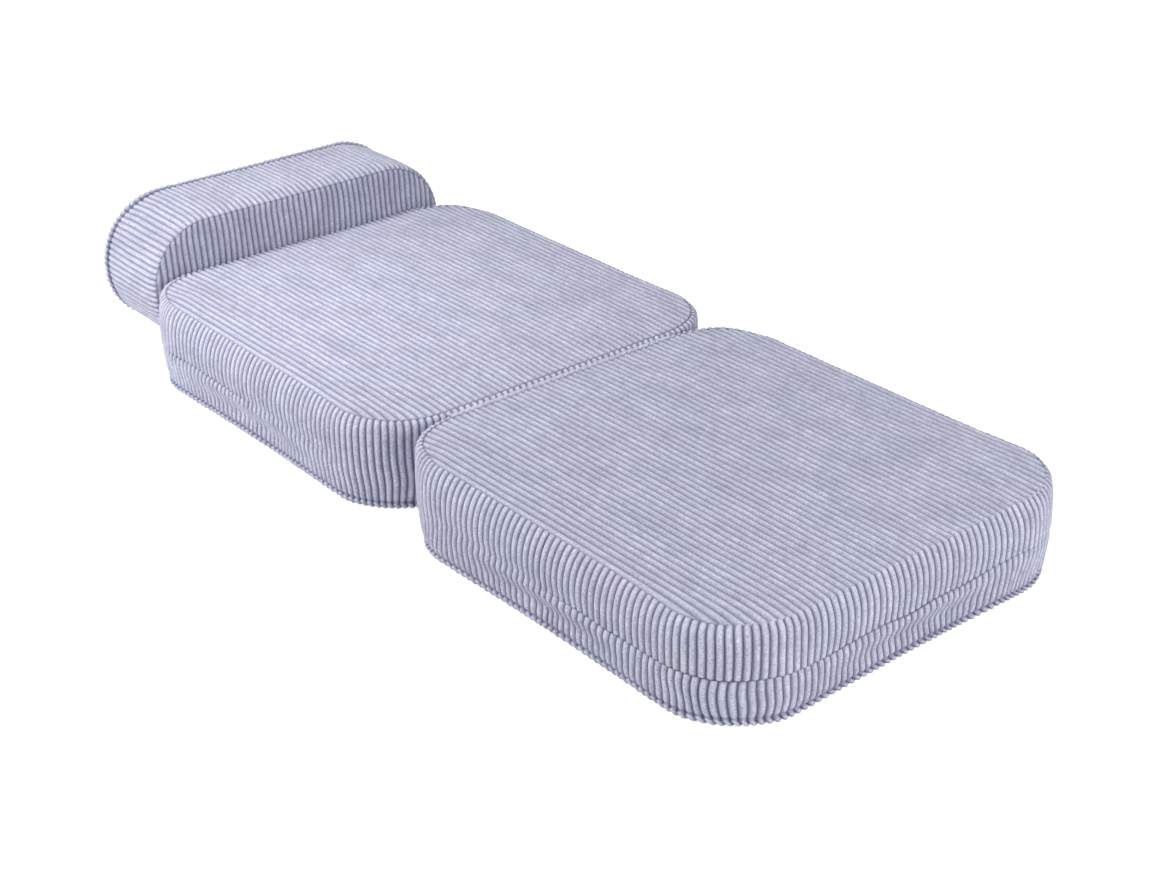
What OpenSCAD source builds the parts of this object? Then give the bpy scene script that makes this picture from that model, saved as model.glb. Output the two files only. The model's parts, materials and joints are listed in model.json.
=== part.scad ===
// Fold-out sleeper chair: two foam cushions hinged at their top edges, and a bolster hinged to the head
// cushion. It lies open as a bed. Y runs from the foot end to the bolster, X across, and Z up from the floor.

/* [Sections] */
// Width of the foot and head sections
section_w = 600; // [480:10:800]
// Length of the foot section, from its round end to the fold line
foot_l = 650; // [520:10:900]
// Length of the head section, from the fold line to the bolster joint
head_l = 650; // [520:10:900]
// Height of the seam between a side band and its top panel
seam_h = 126; // [105:1:180]
// Rise of a top panel from its seam to its middle
crown = 5; // [1:0.5:12]
// Radius of a section's corners in plan
corner_r = 110; // [70:5:160]
// How far the top and bottom seams lie inside the widest line of a side
belly = 4; // [1:0.5:8]
// How far the lower half of each long side is drawn in at its middle
side_draw = 9; // [0:0.5:14]
// Share of that draw left at the floor, where the sides spread again
floor_share = 0.5; // [0.2:0.1:1]
// How far the top edge of each long side rolls in at its middle
edge_roll = 9; // [0:0.5:12]
// Height over which that edge rolls in
roll_h = 18; // [12:1:20]

/* [Bolster] */
// Width of the bolster
bolster_w = 520; // [400:10:700]
// Height of the bolster as it stands on the floor
bolster_h = 208; // [204:2:280]
// Thickness of the bolster, from the head section to its back
bolster_t = 160; // [120:2:240]
// Radius of the bolster's rounded ends, seen from the front
bolster_r = 100; // [60:2:102]
// Rise of the front panel from its seam to its middle
bolster_crown = 6; // [1:0.5:12]

/* [Fabric and filling] */
// Thickness of the corduroy
fabric_t = 2.5; // [1:0.5:4]
// Clearance between one layer and the next
layer_gap = 0.3; // [0.2:0.1:0.6]
// Thickness of the wadding over the foam
wadding_top_t = 12; // [6:1:24]
// Least thickness of the wadding beside the foam
wadding_side_t = 4; // [2:1:12]
// Radius of the foam's upright corners, cut a little smaller than the cover's
foam_corner_r = 85; // [40:5:85]

/* [Zips] */
// Height of the zip line round the outer half of a section
zip_z = 62; // [45:1:80]
// Height of the zip line across the back of the bolster
bolster_zip_z = 34; // [30:1:60]
// Length of the bolster's zip
bolster_zip_l = 300; // [160:10:300]
// How far the bands sink in at a zip line
zip_sink = 3; // [2.5:0.5:5]
// Width of the slit between the two sides of a zip
zip_slit = 1.4; // [1.2:0.1:2]
// Width of one zip tape
zip_tape_w = 11; // [8:1:14]
// Thickness of a zip tape
zip_tape_t = 1; // [0.5:0.1:1.5]
// Height of one row of zip teeth
zip_teeth_w = 2.4; // [2:0.1:4]
// Thickness of the zip teeth
zip_teeth_t = 2; // [1:0.1:3]
// Length of the slider's body
slider_l = 14; // [8:1:20]
// Wall thickness of the slider and its pull tab
slider_wall = 1.2; // [0.8:0.1:1.4]
// Length of the pull tab
pull_l = 24; // [14:1:30]
// Width of the pull tab
pull_w = 5; // [3:0.5:6]

/* [Joints] */
// Width of the woven tape sewn into each side of the fold line
fold_tape_w = 25; // [15:1:40]
// Length of the bolster's joint tape
bolster_tape_l = 300; // [160:10:320]
// Thickness of the joint tapes
tape_t = 1; // [0.6:0.1:1.4]
// Clearance from each joint plane to the pieces beside it
joint_gap = 0.2; // [0.15:0.05:0.5]
// Height of the side bands' lower edge above the floor
band_lift = 1.5; // [1.4:0.1:3]

/* [Hidden] */
// Straight steps round a corner, along a straight side, and down the bolster's short straight ends
corner_steps = 6;
side_steps = 4;
bolster_end_steps = 2;
// How flat a crown is in the middle, and the sizes of its rings as shares of its outline
crown_power = 8;
CROWN_SCALES = [1, 0.95, 0.87, 0.7, 0.4];
WADDING_SCALES = [1, 0.95, 0.7, 0.4];
// Clearance of what slides, and room behind a slider
run_gap = 0.2;
slider_room = 1.2;
// How much further in the wadding lies, since the cover's flat facets cut its curves short
facet_room = 0.2;
// Height over which a band curves in to its zip
shoulder = 9;
// Heights of a band's rows: the lowest as a share of the zip's height, the bend as a share of the roll's, and
// the gusset's outer ones as a share of its width
low_share = 0.45;
bend_share = 0.4;
edge_share = 0.2;
lilac = [0.72, 0.72, 0.84];
lilac_deep = [0.58, 0.58, 0.73];
tape_colour = [0.62, 0.61, 0.72];
foam_colour = [0.93, 0.90, 0.80];
wadding_colour = [0.97, 0.97, 0.97];
zip_colour = [0.50, 0.49, 0.62];

// Places along the length
total_l = foot_l + head_l + bolster_t;
foot_end_y = -total_l / 2;
fold_y = foot_end_y + foot_l;
rear_y = fold_y + head_l;
back_y = rear_y + bolster_t;

// Room beside each joint plane for half of the joint's tape
joint_room = joint_gap + tape_t + layer_gap;
foot_body_l = foot_l - joint_room;
head_body_l = head_l - 2 * joint_room;
foot_mid_y = foot_end_y + foot_body_l / 2;
head_mid_y = fold_y + joint_room + head_body_l / 2;

// The layers under the cover
cover_t = fabric_t + layer_gap;
wadding_depth = cover_t + facet_room;
foam_inset = belly + side_draw + wadding_depth + wadding_side_t;
zip_depth = zip_sink + cover_t;
zip_room = zip_depth + zip_tape_t + zip_teeth_t + run_gap + slider_wall + slider_room;
zip_half = zip_slit / 2 + zip_tape_w;

// The bolster lies on its back while it is drawn, and then stands up
bolster_lift = 0.4;
bolster_outline_h = bolster_h - bolster_lift;
bolster_mid_z = bolster_lift + bolster_outline_h / 2;
pull_room = run_gap + slider_wall;
panel_depth = cover_t + pull_room;
bolster_seam_y = back_y - panel_depth;
gusset_w = bolster_t - joint_room - bolster_crown - cover_t - panel_depth;
chain_room = layer_gap + zip_tape_t + zip_teeth_t + run_gap + slider_wall + slider_room;

// An outline is a list of points, each [x, y, outward x, outward y, share of the draw and the roll,
// share of the belly].
function long_side(x, from_y, to_y, steps, half, share) = [
    for (i = [0 : steps - 1])
        let (y = from_y + (to_y - from_y) * i / steps)
        [x, y, sign(x), 0, share * pow(1 - pow(y / half, 2), 2), 1]
];
function end_side(y, from_x, to_x, steps, share) = [
    for (i = [0 : steps - 1]) [from_x + (to_x - from_x) * i / steps, y, 0, sign(y), 0, share]
];
function corner(x, y, r, start, from_share, to_share) = [
    for (i = [0 : corner_steps - 1])
        let (t = i / corner_steps, a = start + 90 * t)
        [x + r * cos(a), y + r * sin(a), cos(a), sin(a), 0, from_share + (to_share - from_share) * t]
];
// A rounded oblong, anticlockwise from the middle of its +X side
function outline(w, l, r, sides, ends, side_share, front_share, rear_share) =
    let (x = w / 2 - r, y = l / 2 - r)
    concat(
        long_side(w / 2, 0, y, sides / 2, y, side_share),
        corner(x, y, r, 0, 1, rear_share),
        end_side(l / 2, x, -x, ends, rear_share),
        corner(-x, y, r, 90, rear_share, 1),
        long_side(-w / 2, y, -y, sides, y, side_share),
        corner(-x, -y, r, 180, 1, front_share),
        end_side(-l / 2, -x, x, ends, front_share),
        corner(x, -y, r, 270, front_share, 1),
        long_side(w / 2, -y, 0, sides / 2, y, side_share)
    );
function around(points, from, to) = [for (i = [from : to]) points[i % len(points)]];

// How far a long side is drawn in at a height: most at the lowest row, and nothing from the zip line up
function draw_share(z) =
    z < low_z ? floor_share + (1 - floor_share) * z / low_z : max(0, (zip_z - z) / (zip_z - low_z));
function draw_at(z) = side_draw * draw_share(z);
function roll_at(z, h) = edge_roll * pow(max(0, 1 - (h - z) / roll_h), 2);

// A row is [height, how far it sinks in]. The seams lie inside the belly.
function side_inset(p, row, h, depth) =
    depth + row[1]
    + p[5] * belly * pow(abs(2 * row[0] / h - 1), 3)
    + p[4] * (draw_at(row[0]) + roll_at(row[0], h));
function side_point(p, row, h, depth) =
    let (d = side_inset(p, row, h, depth))
    [p[0] - p[2] * d, p[1] - p[3] * d, row[0]];
function side_ring(points, row, h, depth) = [for (p = points) side_point(p, row, h, depth)];
function crown_ring(points, s, seam, rise, depth) = [
    for (p = points)
        let (q = side_point(p, [seam, 0], seam, depth))
        [q[0] * s, q[1] * s, seam + rise * (1 - pow(s, crown_power))]
];
function raised(ring, dz) = [for (q = ring) q + [0, 0, dz]];
function flat(ring) = [for (q = ring) [q[0], q[1]]];
function reversed(list) = [for (i = [len(list) - 1 : -1 : 0]) list[i]];

// A closed solid through a row of loops of equally many points. Each end is flat, a fan round a middle point,
// or a ladder of rungs between the loop's two halves.
function middle(loop) = [for (axis = [0 : 2]) [for (q = loop) q[axis]] * [for (q = loop) 1] / len(loop)];
function flat_end(n) = [[for (j = [0 : n - 1]) j]];
function fan_end(n, pole) = [for (j = [0 : n - 1]) [pole, j, (j + 1) % n]];
function ladder_end(n) = [for (j = [0 : n / 2 - 2]) [j, j + 1, n - 2 - j, n - 1 - j]];
function end_faces(n, ends, pole) =
    ends == "fan" ? fan_end(n, pole) : ends == "ladder" ? ladder_end(n) : flat_end(n);
module loft(loops, ends = "flat") {
    n = len(loops[0]);
    top = (len(loops) - 1) * n;
    pole = top + n;
    walls = [
        for (i = [0 : len(loops) - 2], j = [0 : n - 1], upper = [0, 1])
            let (a = i * n + j, b = i * n + (j + 1) % n)
            upper == 0 ? [a, a + n, b + n] : [a, b + n, b]
    ];
    start_cap = end_faces(n, ends, pole);
    end_cap = [for (face = end_faces(n, ends, n + 1)) [for (k = [len(face) - 1 : -1 : 0]) top + face[k]]];
    middles = [middle(loops[0]), middle(loops[len(loops) - 1])];
    polyhedron(
        points = concat([for (loop = loops, q = loop) q], ends == "fan" ? middles : []),
        faces = concat(start_cap, walls, end_cap)
    );
}

// A strip of cloth that follows the side, through the given rows
function strip_loop(p, rows, h) = concat(
    [for (row = rows) side_point(p, row, h, fabric_t)],
    [for (row = reversed(rows)) side_point(p, row, h, 0)]
);
module strip(points, rows, h) {
    color(lilac) loft([for (p = points) strip_loop(p, rows, h)], ends = "ladder");
}

// A crowned panel of cloth whose edge sits on the side's upper seam
module crowned_panel(points, seam, rise) {
    under = [for (s = reversed(CROWN_SCALES)) raised(crown_ring(points, s, seam, rise, 0), layer_gap)];
    over = [for (s = CROWN_SCALES) raised(crown_ring(points, s, seam, rise, 0), layer_gap + fabric_t)];
    color(lilac) loft(concat(under, over), ends = "fan");
}

// The room for the foam: an outline of flat steps that stays clear of the foam's true round corners
step_sag = 1 / cos(45 / corner_steps) - 1;
function foam_room(w, l, r, ends) =
    let (gap = layer_gap + r * step_sag)
    outline(w + 2 * gap, l + 2 * gap, r + gap, ends, side_steps, 0, 1, 1);

// Wadding under the cover: open below, with a room for the foam
module wadding(points, hollow, rows, h, rise, top_t) {
    inside = [[for (q = hollow) [q[0], q[1], h - top_t]], [for (q = hollow) [q[0], q[1], rows[0][0]]]];
    side = [for (row = rows) side_ring(points, row, h, wadding_depth)];
    top = [for (s = WADDING_SCALES) crown_ring(points, s, h, rise, wadding_depth)];
    color(wadding_colour) loft(concat(inside, side, top), ends = "fan");
}

// A block of foam with round upright corners, cut straight
module foam_block(w, l, r, h) {
    color(foam_colour) linear_extrude(h) {
        square([w - 2 * r, l], center = true);
        square([w, l - 2 * r], center = true);
        for (x = [-1, 1], y = [-1, 1])
            translate([x * (w / 2 - r), y * (l / 2 - r)]) circle(r, $fn = 64);
    }
}

// One side of a zip: its tape, and its teeth behind the edge. up is 1 above the slit and -1 below.
function zip_profile(up) =
    let (edge = up * zip_slit / 2, teeth = up * (zip_slit / 2 + zip_teeth_w), out = up * zip_half)
    [[0, edge], [0, out], [zip_tape_t, out], [zip_tape_t, teeth], [zip_tape_t + zip_teeth_t, teeth],
     [zip_tape_t + zip_teeth_t, edge]];
function zip_loop(p, profile) = [
    for (q = profile)
        let (d = zip_depth + q[0])
        [p[0] - p[2] * d, p[1] - p[3] * d, zip_z + q[1]]
];
module section_zip_chain(points) {
    color(zip_colour) {
        loft([for (p = points) reversed(zip_loop(p, zip_profile(1)))]);
        loft([for (p = points) zip_loop(p, zip_profile(-1))]);
    }
}

// A zip slider: X is outward from the tape's face, Y runs along the zip. Its tab lies reach outside the tape.
module zip_slider(reach) {
    inner = zip_tape_t + zip_teeth_t + run_gap;
    cheek = zip_slit / 2 + zip_teeth_w + run_gap;
    half = cheek + slider_wall;
    // The bridge between the body and the tab, which runs in the slit
    bridge_l = slider_l / 2;
    bridge_t = zip_slit / 2;
    color(zip_colour) {
        translate([-inner - slider_wall, -slider_l / 2, -half]) cube([slider_wall, slider_l, 2 * half]);
        for (z = [-half, cheek])
            translate([-inner - slider_wall, -slider_l / 2, z])
                cube([inner + slider_wall - zip_tape_t - run_gap, slider_l, slider_wall]);
        translate([-inner - slider_wall, -bridge_l / 2, -bridge_t / 2])
            cube([inner + 2 * slider_wall + reach, bridge_l, bridge_t]);
        translate([reach, -pull_l / 2, -pull_w / 2]) cube([slider_wall, pull_l - pull_w / 2, pull_w]);
        translate([reach, pull_l / 2 - pull_w / 2, 0]) rotate([0, 90, 0])
            cylinder(h = slider_wall, d = pull_w, $fn = 32);
    }
}

// The outlines of the three cushions, and their columns where one strip ends and the next begins
foot_outline = outline(section_w, foot_body_l, corner_r, side_steps, side_steps, 1, 1, 0);
head_outline = outline(section_w, head_body_l, corner_r, side_steps, side_steps, 1, 0, 0);
bolster_outline = outline(bolster_w, bolster_outline_h, bolster_r, bolster_end_steps, side_steps, 0, 0, 1);
half_count = 2 * (corner_steps + side_steps);
gusset_first = 3 * corner_steps + 2 * side_steps + bolster_end_steps * 3 / 2;
gusset_last = gusset_first + len(bolster_outline) - side_steps;

// Rows of the side bands, from the floor up
low_z = zip_z * low_share;
below_z = zip_z - zip_half - shoulder;
above_z = zip_z + zip_half + shoulder;
roll_z = seam_h - roll_h;
bend_z = seam_h - roll_h * bend_share;
lower_rows = [
    [band_lift, 0], [low_z, 0], [below_z, 0], [zip_z - shoulder, 0], [zip_z - zip_slit / 2, zip_sink]
];
edge_rows = [[roll_z, 0], [bend_z, 0], [seam_h, 0]];
upper_rows = concat([[zip_z + zip_slit / 2, zip_sink], [zip_z + shoulder, 0]], edge_rows);
plain_rows = concat([[band_lift, 0], [low_z, 0], [below_z, 0], [above_z, 0]], edge_rows);
zip_groove = zip_room - wadding_depth;
wadding_rows = [
    [cover_t, 0], [low_z, 0], [below_z, 0], [zip_z - zip_half, zip_groove],
    [zip_z + zip_half, zip_groove], [above_z, 0], [roll_z, 0]
];
gusset_rows = [
    [0, 0], [gusset_w * edge_share, 0], [gusset_w / 2, 0], [gusset_w * (1 - edge_share), 0], [gusset_w, 0]
];
bolster_wadding_rows = [[chain_room, 0], [gusset_w / 2, 0], [gusset_w * (1 - edge_share), 0]];

module section_core(l) {
    translate([0, 0, cover_t])
        foam_block(section_w - 2 * foam_inset, l - 2 * foam_inset, foam_corner_r,
            seam_h - wadding_top_t - layer_gap - cover_t);
}
module section_wadding(points, l) {
    hollow = foam_room(section_w - 2 * foam_inset, l - 2 * foam_inset, foam_corner_r, side_steps);
    wadding(points, hollow, wadding_rows, seam_h, crown, wadding_top_t);
}
module section_base(points) {
    color(lilac_deep) linear_extrude(fabric_t) polygon(flat(side_ring(points, [0, 0], seam_h, cover_t)));
}
module fold_tape() {
    color(tape_colour) translate([-(section_w / 2 - corner_r), -tape_t / 2, seam_h - fold_tape_w])
        cube([section_w - 2 * corner_r, tape_t, fold_tape_w]);
}
tape_offset = joint_gap + tape_t / 2;
slider_home = slider_l / 2 + pull_l / 2;
slider_x = section_w / 2 - zip_depth;
section_reach = zip_depth - zip_sink + zip_sink * pull_w / 2 / shoulder + run_gap;

module foot_foam_core() { translate([0, foot_mid_y, 0]) section_core(foot_body_l); }
module foot_wadding_wrap() { translate([0, foot_mid_y, 0]) section_wadding(foot_outline, foot_body_l); }
module foot_top_panel() { translate([0, foot_mid_y, 0]) crowned_panel(foot_outline, seam_h, crown); }
module foot_plain_band() {
    translate([0, foot_mid_y, 0]) strip(around(foot_outline, 0, half_count), plain_rows, seam_h);
}
module foot_upper_zip_band() {
    translate([0, foot_mid_y, 0]) strip(around(foot_outline, half_count, 2 * half_count), upper_rows, seam_h);
}
module foot_lower_zip_band() {
    translate([0, foot_mid_y, 0]) strip(around(foot_outline, half_count, 2 * half_count), lower_rows, seam_h);
}
module foot_base_panel() { translate([0, foot_mid_y, 0]) section_base(foot_outline); }
module foot_zip_chain() {
    translate([0, foot_mid_y, 0]) section_zip_chain(around(foot_outline, half_count, 2 * half_count));
}
module foot_zip_slider() {
    translate([slider_x, foot_mid_y - slider_home, zip_z]) zip_slider(section_reach);
}
module foot_fold_tape() { translate([0, fold_y - tape_offset, 0]) fold_tape(); }

module head_foam_core() { translate([0, head_mid_y, 0]) section_core(head_body_l); }
module head_wadding_wrap() { translate([0, head_mid_y, 0]) section_wadding(head_outline, head_body_l); }
module head_top_panel() { translate([0, head_mid_y, 0]) crowned_panel(head_outline, seam_h, crown); }
module head_plain_band() {
    translate([0, head_mid_y, 0]) strip(around(head_outline, half_count, 2 * half_count), plain_rows, seam_h);
}
module head_upper_zip_band() {
    translate([0, head_mid_y, 0]) strip(around(head_outline, 0, half_count), upper_rows, seam_h);
}
module head_lower_zip_band() {
    translate([0, head_mid_y, 0]) strip(around(head_outline, 0, half_count), lower_rows, seam_h);
}
module head_base_panel() { translate([0, head_mid_y, 0]) section_base(head_outline); }
module head_zip_chain() {
    translate([0, head_mid_y, 0]) section_zip_chain(around(head_outline, 0, half_count));
}
module head_zip_slider() {
    translate([slider_x, head_mid_y + slider_home, zip_z]) zip_slider(section_reach);
}
module head_fold_tape() { translate([0, fold_y + tape_offset, 0]) fold_tape(); }
module head_bolster_tape() {
    base_edge = rear_y - joint_room - cover_t;
    color(tape_colour) translate([-bolster_tape_l / 2, base_edge + joint_gap, joint_gap])
        cube([bolster_tape_l, rear_y - base_edge - 2 * joint_gap, tape_t]);
}

module stand_bolster() {
    translate([0, bolster_seam_y, bolster_mid_z]) rotate([90, 0, 0]) children();
}
bolster_foam_inset = belly + wadding_depth + wadding_side_t;
bolster_foam_w = bolster_w - 2 * bolster_foam_inset;
bolster_foam_h = bolster_outline_h - 2 * bolster_foam_inset;
bolster_foam_r = bolster_r - bolster_foam_inset;
module bolster_foam_core() {
    stand_bolster() translate([0, 0, chain_room])
        foam_block(bolster_foam_w, bolster_foam_h, bolster_foam_r,
            gusset_w - wadding_top_t - chain_room - layer_gap);
}
module bolster_wadding_wrap() {
    hollow = foam_room(bolster_foam_w, bolster_foam_h, bolster_foam_r, bolster_end_steps);
    stand_bolster()
        wadding(bolster_outline, hollow, bolster_wadding_rows, gusset_w, bolster_crown, wadding_top_t);
}
module bolster_front_panel() { stand_bolster() crowned_panel(bolster_outline, gusset_w, bolster_crown); }
module bolster_back_panel() {
    color(lilac) stand_bolster() translate([0, 0, -cover_t]) difference() {
        linear_extrude(fabric_t) polygon(flat(side_ring(bolster_outline, [0, 0], gusset_w, 0)));
        translate([-bolster_zip_l / 2, bolster_zip_z - bolster_mid_z - zip_slit / 2, -fabric_t])
            cube([bolster_zip_l, zip_slit, 3 * fabric_t]);
    }
}
module bolster_gusset() {
    stand_bolster() strip(around(bolster_outline, gusset_first, gusset_last), gusset_rows, gusset_w);
}
module bolster_base_strip() {
    color(lilac) translate([-(bolster_w / 2 - bolster_r), bolster_seam_y - gusset_w, 0])
        cube([bolster_w - 2 * bolster_r, gusset_w, fabric_t]);
}
module bolster_zip_chain() {
    color(zip_colour) translate([-bolster_zip_l / 2, bolster_seam_y, bolster_zip_z])
        for (up = [1, -1]) rotate([90, 0, 90])
            linear_extrude(bolster_zip_l) polygon([for (q = zip_profile(up)) [-q[0], q[1]]]);
}
module bolster_zip_slider() {
    translate([-bolster_zip_l / 2 + slider_home, bolster_seam_y, bolster_zip_z]) rotate([0, 0, 90])
        zip_slider(cover_t + run_gap);
}
module bolster_joint_tape() {
    panel_edge = bolster_seam_y - gusset_w - cover_t;
    color(tape_colour) translate([-bolster_tape_l / 2, rear_y + joint_gap, joint_gap])
        cube([bolster_tape_l, panel_edge - rear_y - 2 * joint_gap - layer_gap, tape_t]);
}

foot_foam_core();
foot_wadding_wrap();
foot_top_panel();
foot_plain_band();
foot_upper_zip_band();
foot_lower_zip_band();
foot_base_panel();
foot_zip_chain();
foot_zip_slider();
foot_fold_tape();
head_foam_core();
head_wadding_wrap();
head_top_panel();
head_plain_band();
head_upper_zip_band();
head_lower_zip_band();
head_base_panel();
head_zip_chain();
head_zip_slider();
head_fold_tape();
head_bolster_tape();
bolster_foam_core();
bolster_wadding_wrap();
bolster_front_panel();
bolster_back_panel();
bolster_gusset();
bolster_base_strip();
bolster_zip_chain();
bolster_zip_slider();
bolster_joint_tape();
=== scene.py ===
"""A fold-out sleeper chair in wide-wale corduroy, lying open as a bed: two foam cushions and a bolster.

Each cover panel is a grid of points that follows the wales of its corduroy. A coarse copy of each
cushion is inflated as cloth, and how far that moved is carried over to the fine panels.
"""
import json
import math

import bmesh
import bpy
import numpy as np
from mathutils import Matrix, Vector
from mathutils.geometry import delaunay_2d_cdt


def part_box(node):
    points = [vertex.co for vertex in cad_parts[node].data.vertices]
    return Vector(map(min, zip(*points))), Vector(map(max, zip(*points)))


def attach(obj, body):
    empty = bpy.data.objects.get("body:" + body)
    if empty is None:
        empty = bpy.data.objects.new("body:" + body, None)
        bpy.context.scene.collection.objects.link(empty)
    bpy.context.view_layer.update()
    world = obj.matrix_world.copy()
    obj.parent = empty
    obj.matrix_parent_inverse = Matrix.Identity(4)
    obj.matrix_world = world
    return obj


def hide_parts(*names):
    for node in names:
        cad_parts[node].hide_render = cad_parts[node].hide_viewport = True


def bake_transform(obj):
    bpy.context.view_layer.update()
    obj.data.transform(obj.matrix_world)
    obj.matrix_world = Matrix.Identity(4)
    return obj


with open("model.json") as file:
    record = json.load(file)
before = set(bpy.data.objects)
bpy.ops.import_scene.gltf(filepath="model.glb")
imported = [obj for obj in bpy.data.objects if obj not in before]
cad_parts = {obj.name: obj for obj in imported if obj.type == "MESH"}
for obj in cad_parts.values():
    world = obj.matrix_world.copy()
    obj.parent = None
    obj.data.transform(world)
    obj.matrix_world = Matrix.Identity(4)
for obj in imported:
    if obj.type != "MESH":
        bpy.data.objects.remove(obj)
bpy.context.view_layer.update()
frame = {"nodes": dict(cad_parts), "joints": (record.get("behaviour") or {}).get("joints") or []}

# The corduroy. A higher roundness gives the wales broader tops, and round the corners they stand open.
WALES_ACROSS = 56
BOLSTER_WALES = 52
POINTS_PER_WALE = 8
WALE_DEPTH = 0.0032
WALE_ROUNDNESS = 1.7
CORNER_ROUNDNESS = 1.45
# How uneven the pile is, and the size of its hills across, in wales, and along
PILE_UNEVENNESS = 0.00035
PILE_HILLS = (0.7, 0.021)
CLOTH_THICKNESS = 0.0038
# How much wider the wales are along the long sides, where the bands are stretched most
SIDE_STRETCH = 0.09
# How much flatter the wales are pressed over the top edge of the side on which the zip's slider runs, and
# how far down
EDGE_PRESS = 0.6
EDGE_PRESS_REACH = 0.022
# The wale heights that colour the grooves and the ridges; the dark groove colour is partly painted shade. The
# tops, the bolster's gusset and its front have their own, lighter or darker for how light falls there:
# painted light and shade.
WHOLE_WALES = (0.0, 1.0)
TOP_PAINTED_SHADE = (0.18, 0.82)
GUSSET_PAINTED_SHADE = (0.24, 0.90)
FRONT_PAINTED_SHADE = (0.12, 0.94)
BRUSHED_BACK = 0.8
# The wale height from which the pile has its full colour; lower, it shades into the groove colour, which is
# partly painted shade
FULL_COLOUR_HEIGHT = 0.8

# The seams: how deep they lie, how far the wales' ends are rounded beside them, and how far inside them the
# panels reach their full crown or depth
SEAM_DEPTH = 0.0026
SEAM_ROLL = 0.0036
CROWN_REACH = 0.045
BASE_REACH = 0.020

# The cushions' sides, from the seam under the cushion up to the seam at its top: how far inside the widest
# line, and how high, in metres. The top edge is a soft roll, a tighter one beside a joint, or a crisp edge.
# The bottom edge is a small lip.
SIDE_BELOW = [
    (0.0100, 0.0002), (0.0050, 0.0003), (0.0026, 0.0030), (0.0029, 0.0070), (0.0048, 0.0095),
    (0.0037, 0.0122), (0.0024, 0.0190), (0.0012, 0.0360), (0.0003, 0.0620),
]
SOFT_EDGE = [
    (0.0000, 0.0800), (0.0009, 0.0980), (0.0034, 0.1115), (0.0081, 0.1217), (0.0126, 0.1268),
    (0.0170, 0.1298),
]
JOINT_EDGE = [
    (0.0000, 0.0850), (-0.0003, 0.1050), (-0.0006, 0.1190), (-0.0002, 0.1258), (0.0024, 0.1290),
    (0.0082, 0.1298),
]
CRISP_EDGE = [
    (0.0000, 0.0850), (0.0001, 0.1030), (0.0008, 0.1140), (0.0025, 0.1218), (0.0056, 0.1267),
    (0.0100, 0.1298),
]
BOLSTER_SIDE = [
    (0.0090, -0.0028), (0.0036, -0.0026), (0.0000, 0.0004), (0.0004, 0.0046), (0.0030, 0.0072),
    (0.0017, 0.0100), (0.0008, 0.0180), (0.0002, 0.0400), (0.0000, 0.0750), (0.0004, 0.1150),
    (0.0016, 0.1360), (0.0040, 0.1450), (0.0078, 0.1490),
]
# Over how much of its length a cushion's edge turns from soft to crisp
CRISP_FROM, CRISP_TO = 0.10, 0.29
CORNER_RADIUS = 0.110
BOLSTER_RADIUS = 0.100
LIP_HEIGHT = 0.0095
BOLSTER_LIP_HEIGHT = 0.0072
# How far apart the rows of points are, along the wales of the bands and of the upper and lower panels
ROW_STEP = 0.0055
UPPER_STEP = ROW_STEP * 1.3
LOWER_STEP = ROW_STEP * 1.6

# How far the lower half of the sides is drawn in between the corners, where it is narrowest, and how much of
# that is left at the floor. The round corners narrow a little towards the floor.
WAIST_DEPTH = 0.012
WAIST_HEIGHT = 0.028
WAIST_TOP = 0.056
WAIST_AT_FLOOR = 0.28
CORNER_TUCK = 0.0028

# The zip line: how the upper band's edge hangs over the lower one's, how wide the slit between them is, also
# where the slider runs, how much the line waves, and how far from its ends it fades out
ZIP_HEIGHT = 0.062
ZIP_SINK = 0.0010
ZIP_ROLL = 0.0030
ZIP_OVERHANG = 0.0007
ZIP_SLIT = 0.0006
SLIDER_SLIT = 0.0014
ZIP_WAVE = 0.0018
ZIP_WAVE_HILLS = (0.045, 1)
ZIP_FADE = 0.11
# The shallow trough along a zip in which its slider's tab lies: how deep, and how far to each side
TROUGH_DEPTH = 0.0028
TROUGH_REACH = 0.0060
# How far the covers stay from the floor, and the crowned tops from each other when folded
FLOOR_ROOM = 0.0001
TOP_ROOM = 0.0005

# How far the wales sway sideways in the loose lower half and above it, over how long and how high a stretch,
# up to what height they are loose, and how loose the bolster's are beside the cushions'
SWAY = 0.0042
SWAY_ABOVE = 0.0006
SWAY_HILLS = (0.055, 0.030)
LOOSE_HEIGHT = 0.082
BOLSTER_LOOSE = 0.3
# On the tops, how far they sway in the middle, how much more at the two ends, and over what stretches
TOP_SWAY = 0.0007
TOP_END_SWAY = 0.0016
TOP_HILLS = (0.06, 0.05)
# How far the wales lean aside on the foot end near its right corner, and where
LEAN = 0.0080
LEAN_X = 0.20
LEAN_REACH = 0.08
# The lip at the foot of the sides: how far its short wale ends slant, how deep and how wide the pinch above
# it is and how flat it presses the wales, and how far the beads at the bolster's back edge stand out
LIP_SLANT = 0.0060
PINCH_DEPTH = 0.0010
PINCH_REACH = 0.0018
PINCH_PRESS = 0.6
BEAD_HEIGHT = 0.0018

# The cloth simulation: how firmly the foam holds the cover, and how much longer the cover is cut than the
# foam is high
FOAM_HOLD = 0.12
FOAM_HOLD_TOP = 0.35
ZIP_HOLD = 0.6
LOOSE_CUT = 0.02
SIMULATED_FRAMES = 20
LARGEST_MOVE = 0.004
COARSE_STEP = 0.012
CLOTH_SETTINGS = {
    "quality": 6, "mass": 0.25, "tension_stiffness": 18, "compression_stiffness": 6, "shear_stiffness": 4,
    "bending_stiffness": 0.25, "vertex_group_mass": "held", "pin_stiffness": 4, "use_pressure": True,
    "uniform_pressure_force": 4, "vertex_group_shrink": "slack", "shrink_min": 0, "shrink_max": -LOOSE_CUT,
}

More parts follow.
